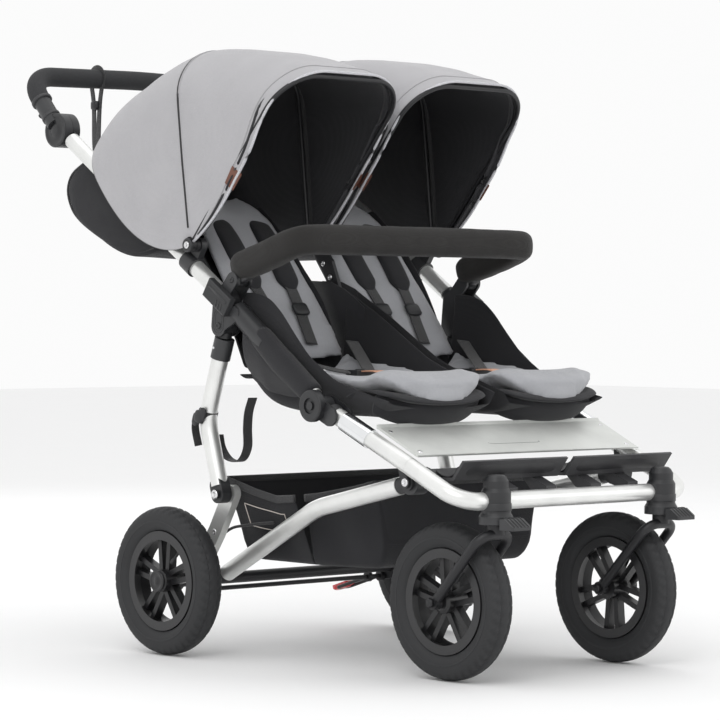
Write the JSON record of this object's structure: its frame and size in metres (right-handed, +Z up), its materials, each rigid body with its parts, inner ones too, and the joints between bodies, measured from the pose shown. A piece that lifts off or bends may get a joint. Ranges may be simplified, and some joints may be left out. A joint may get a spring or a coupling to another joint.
{
  "type": "side-by-side jogging stroller",
  "caption": "Side-by-side child stroller with air tyres, swivelling front casters, hooded reclining seats, bumper bar, storage basket and a folding tube frame.",
  "frame": {"origin": "on the floor, at the middle of the width and of the overall length", "axes": "+Z up, -Y forward (the direction the stroller is pushed), +X to the seated children's left"},
  "size_m": [0.657, 1.1963, 1.0288],
  "materials": {
    "silver_tube": "satin anodised",
    "chrome_ring": "polished",
    "black_steel": "satin powder coat",
    "black_plastic": "fine moulded grain",
    "rim_plastic": "satin moulded",
    "tyre_rubber": "matte with tread",
    "footplate_grey": "satin",
    "black_rubber": "matte",
    "grip_foam": "soft matte",
    "hood_grey": "heather weave",
    "black_fabric": "plain weave",
    "black_webbing": "ribbed webbing",
    "red_plastic": "moulded"
  },
  "bodies": {
    "rear_frame": {"rear_axle": "black_steel", "lower_tube": "silver_tube", "lower_tube_end": "black_plastic", "lower_leg": "silver_tube", "basket_rear": "black_fabric", "basket_front": "black_fabric", "brake_cable": "black_webbing"},
    "front_frame": {"front_bar": "silver_tube", "front_side_tube": "silver_tube", "chrome_sleeve": "chrome_ring", "front_hinge": "black_plastic", "footplate": "footplate_grey", "foot_rest": "black_rubber", "caster_housing": "black_plastic"},
    "seat_frame": {"seat_tube": "silver_tube", "seat_bracket": "black_plastic", "seat_pan_left": "black_fabric", "seat_pan_right": "black_fabric", "buckle_left": "black_plastic", "buckle_right": "black_plastic", "fold_strap": "black_webbing"},
    "legs": {"upper_leg": "silver_tube", "leg_fitting": "black_plastic"},
    "handle_frame": {"upper_tube": "silver_tube", "upper_tube_joint": "black_plastic", "cross_member": "black_steel", "hood_clevis": "black_plastic", "pouch": "black_fabric"},
    "handlebar": {"handle_arm": "black_plastic", "handle_grip": "grip_foam", "wrist_strap": "black_webbing"},
    "bumper": {"bumper_bar": "black_fabric"},
    "brake": {"brake_pedal": "black_steel", "brake_pad": "red_plastic"},
    "caster_left": {"fork_left": "black_steel"},
    "swivel_lock_left": {"swivel_lock_left": "black_plastic"},
    "wheel_front_left": {"tyre_front_left": "tyre_rubber", "rim_front_left": "rim_plastic"},
    "wheel_rear_left": {"tyre_rear_left": "tyre_rubber", "rim_rear_left": "rim_plastic"},
    "backrest_left": {"backrest_left": "hood_grey"},
    "fold_latch_left": {"fold_latch_left": "black_plastic"},
    "buckle_button_left": {"buckle_button_left": "black_plastic"},
    "handle_button_left": {"handle_button_left": "black_plastic"},
    "hood_front_left": {"hood_bow_front_left": "black_steel", "hood_fabric_left": "hood_grey"},
    "hood_mid_left": {"hood_bow_mid_left": "black_steel"},
    "caster_right": {"fork_right": "black_steel"},
    "swivel_lock_right": {"swivel_lock_right": "black_plastic"},
    "wheel_front_right": {"tyre_front_right": "tyre_rubber", "rim_front_right": "rim_plastic"},
    "wheel_rear_right": {"tyre_rear_right": "tyre_rubber", "rim_rear_right": "rim_plastic"},
    "backrest_right": {"backrest_right": "hood_grey"},
    "fold_latch_right": {"fold_latch_right": "black_plastic"},
    "buckle_button_right": {"buckle_button_right": "black_plastic"},
    "handle_button_right": {"handle_button_right": "black_plastic"},
    "hood_front_right": {"hood_bow_front_right": "black_steel", "hood_fabric_right": "hood_grey"},
    "hood_mid_right": {"hood_bow_mid_right": "black_steel"}
  },
  "joints": [
    {"name": "fold_front", "type": "hinge", "parent": "rear_frame", "child": "front_frame", "pos_m": [0, -0.40618, 0.313], "axis": [1, 0, 0], "range_deg": [0, 69], "deforming": ["basket_front", "fold_strap"]},
    {"name": "fold_seat", "type": "hinge", "parent": "front_frame", "child": "seat_frame", "pos_m": [0, -0.22418, 0.429], "axis": [1, 0, 0], "range_deg": [-110, 0]},
    {"name": "fold_legs", "type": "hinge", "parent": "seat_frame", "child": "legs", "pos_m": [0, 0.01882, 0.556], "axis": [1, 0, 0], "range_deg": [0, 88]},
    {"name": "handle_fold", "type": "hinge", "parent": "seat_frame", "child": "handle_frame", "pos_m": [0, 0.01482, 0.599], "axis": [1, 0, 0], "range_deg": [0, 40]},
    {"name": "handle_angle", "type": "hinge", "parent": "handle_frame", "child": "handlebar", "pos_m": [0, 0.47182, 0.9], "axis": [1, 0, 0], "range_deg": [-60, 30], "deforming": ["wrist_strap"]},
    {"name": "hood_left", "type": "hinge", "parent": "handle_frame", "child": "hood_front_left", "pos_m": [0.15, 0.08782, 0.691], "axis": [-1, 0, 0], "range_deg": [0, 70], "deforming": ["hood_fabric_left"]},
    {"name": "hood_mid_left", "type": "hinge", "parent": "handle_frame", "child": "hood_mid_left", "pos_m": [0.15, 0.08782, 0.691], "axis": [-1, 0, 0], "range_deg": [0, 36]},
    {"name": "recline_left", "type": "hinge", "parent": "handle_frame", "child": "backrest_left", "pos_m": [0.133, 0.02082, 0.492], "axis": [1, 0, 0], "range_deg": [0, 18]},
    {"name": "fold_latch_left", "type": "slide", "parent": "handle_frame", "child": "fold_latch_left", "axis": [0, 0.8351, 0.5501], "range_m": [0, 0.01], "stiffness_N_per_m": 300},
    {"name": "buckle_press_left", "type": "slide", "parent": "seat_frame", "child": "buckle_button_left", "axis": [0, 0, -1], "range_m": [0, 0.003], "stiffness_N_per_m": 400},
    {"name": "handle_press_left", "type": "slide", "parent": "handlebar", "child": "handle_button_left", "axis": [0, -0.7246, 0.6891], "range_m": [0, 0.0025], "stiffness_N_per_m": 500},
    {"name": "swivel_left", "type": "hinge", "parent": "front_frame", "child": "caster_left", "pos_m": [0.192, -0.54118, 0.25], "axis": [0, 0, 1], "continuous": true},
    {"name": "swivel_lock_left", "type": "hinge", "parent": "front_frame", "child": "swivel_lock_left", "pos_m": [0.192, -0.57018, 0.262], "axis": [-1, 0, 0], "range_deg": [0, 20]},
    {"name": "spin_front_left", "type": "hinge", "parent": "caster_left", "child": "wheel_front_left", "pos_m": [0.192, -0.44118, 0.125], "axis": [1, 0, 0], "continuous": true},
    {"name": "spin_rear_left", "type": "hinge", "parent": "rear_frame", "child": "wheel_rear_left", "pos_m": [0.305, 0.12482, 0.125], "axis": [1, 0, 0], "continuous": true},
    {"name": "hood_right", "type": "hinge", "parent": "handle_frame", "child": "hood_front_right", "pos_m": [-0.15, 0.08782, 0.691], "axis": [-1, 0, 0], "range_deg": [0, 70], "deforming": ["hood_fabric_right"]},
    {"name": "hood_mid_right", "type": "hinge", "parent": "handle_frame", "child": "hood_mid_right", "pos_m": [-0.15, 0.08782, 0.691], "axis": [-1, 0, 0], "range_deg": [0, 36]},
    {"name": "recline_right", "type": "hinge", "parent": "handle_frame", "child": "backrest_right", "pos_m": [-0.133, 0.02082, 0.492], "axis": [1, 0, 0], "range_deg": [0, 18]},
    {"name": "fold_latch_right", "type": "slide", "parent": "handle_frame", "child": "fold_latch_right", "axis": [0, 0.8351, 0.5501], "range_m": [0, 0.01], "stiffness_N_per_m": 300},
    {"name": "buckle_press_right", "type": "slide", "parent": "seat_frame", "child": "buckle_button_right", "axis": [0, 0, -1], "range_m": [0, 0.003], "stiffness_N_per_m": 400},
    {"name": "handle_press_right", "type": "slide", "parent": "handlebar", "child": "handle_button_right", "axis": [0, -0.7246, 0.6891], "range_m": [0, 0.0025], "stiffness_N_per_m": 500},
    {"name": "swivel_right", "type": "hinge", "parent": "front_frame", "child": "caster_right", "pos_m": [-0.192, -0.54118, 0.25], "axis": [0, 0, 1], "continuous": true},
    {"name": "swivel_lock_right", "type": "hinge", "parent": "front_frame", "child": "swivel_lock_right", "pos_m": [-0.192, -0.57018, 0.262], "axis": [-1, 0, 0], "range_deg": [0, 20]},
    {"name": "spin_front_right", "type": "hinge", "parent": "caster_right", "child": "wheel_front_right", "pos_m": [-0.192, -0.44118, 0.125], "axis": [1, 0, 0], "continuous": true},
    {"name": "spin_rear_right", "type": "hinge", "parent": "rear_frame", "child": "wheel_rear_right", "pos_m": [-0.305, 0.12482, 0.125], "axis": [1, 0, 0], "continuous": true},
    {"name": "bumper_tilt", "type": "hinge", "parent": "seat_frame", "child": "bumper", "pos_m": [0, -0.01518, 0.632], "axis": [1, 0, 0], "range_deg": [0, 20]},
    {"name": "brake_press", "type": "hinge", "parent": "rear_frame", "child": "brake", "pos_m": [0.187, 0.14082, 0.103], "axis": [-1, 0, 0], "range_deg": [0, 18]}
  ],
  "couplings": [
    {"joint": "fold_seat", "follows": "fold_front", "ratio": -1.5941},
    {"joint": "fold_legs", "follows": "fold_front", "ratio": 1.2677},
    {"joint": "hood_mid_left", "follows": "hood_left", "ratio": 0.5},
    {"joint": "hood_mid_right", "follows": "hood_right", "ratio": 0.5}
  ]
}
